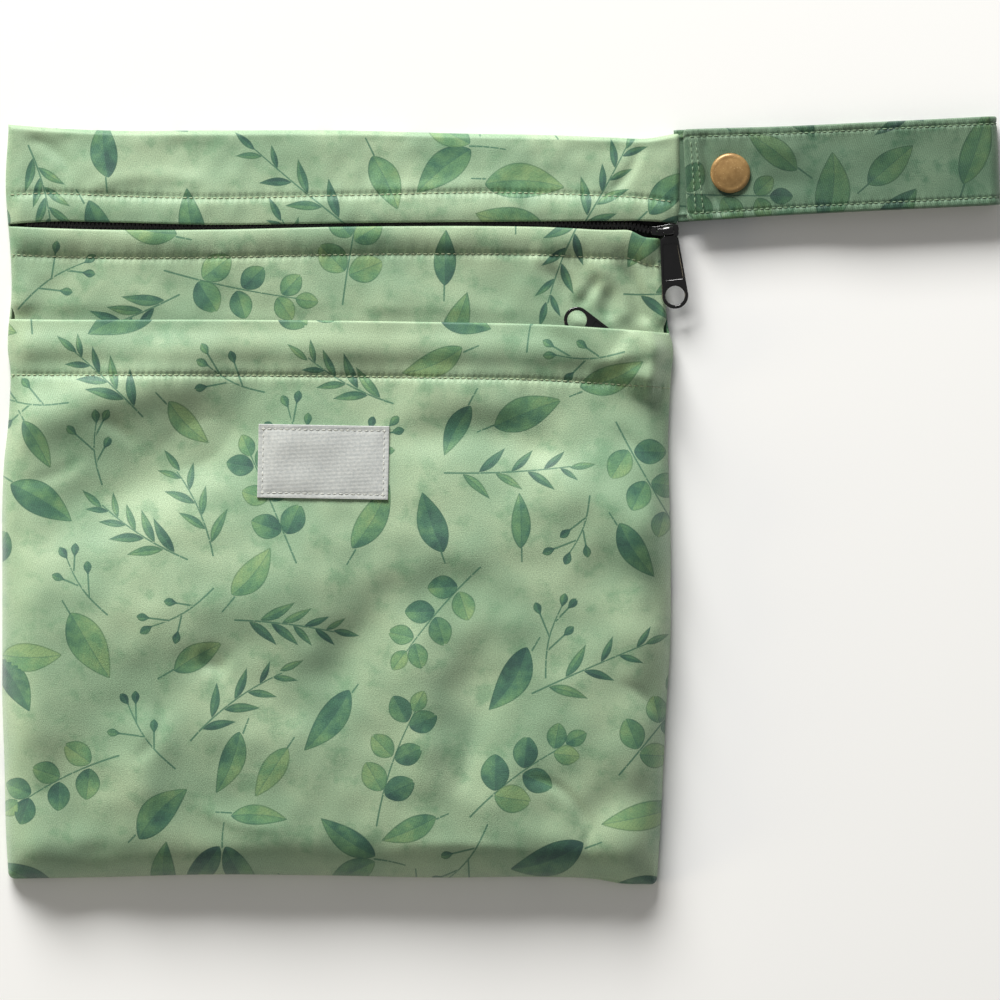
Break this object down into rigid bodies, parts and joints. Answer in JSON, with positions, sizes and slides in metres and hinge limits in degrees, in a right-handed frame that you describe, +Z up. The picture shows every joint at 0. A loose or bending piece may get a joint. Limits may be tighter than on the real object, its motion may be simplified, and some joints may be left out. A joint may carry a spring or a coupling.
{
  "type": "cloth wet bag",
  "caption": "Flat rectangular cloth bag with zipped main and front pockets, a bare woven label and a snapped strap loop at its side.",
  "frame": {"origin": "under the middle of the whole object, strap included, on the surface it lies on", "axes": "+X along the zips towards the strap, +Y towards the top edge of the bag, +Z up off the surface"},
  "size_m": [0.3098, 0.2382, 0.0165],
  "materials": {
    "cloth": "soft knit cloth, slight satin sheen",
    "label": "matte woven",
    "zip_tape": "matte woven",
    "zip_coil": "satin",
    "zip_metal": "black gloss enamel",
    "snap_metal": "aged satin brass"
  },
  "bodies": {
    "bag": {"back_panel": "cloth", "top_band": "cloth", "middle_panel": "cloth", "front_pocket_panel": "cloth", "label": "label", "top_zip_upper_tape": "zip_tape", "top_zip_lower_tape": "zip_tape", "top_zip_coil": "zip_coil", "top_zip_slider": "zip_metal", "lower_zip_upper_tape": "zip_tape", "lower_zip_lower_tape": "zip_tape", "lower_zip_coil": "zip_coil", "lower_zip_slider": "zip_metal", "lower_zip_pull": "zip_metal", "hand_strap": "cloth", "snap_cap": "snap_metal", "snap_socket": "snap_metal", "snap_back_cap": "snap_metal"},
    "top_pull": {"top_zip_pull": "zip_metal"}
  },
  "joints": [
    {"name": "top_pull_flip", "type": "hinge", "parent": "bag", "child": "top_pull", "pos_m": [0.05175, 0.0836, 0.00689], "axis": [-1, 0, 0], "range_deg": [0, 170]}
  ]
}
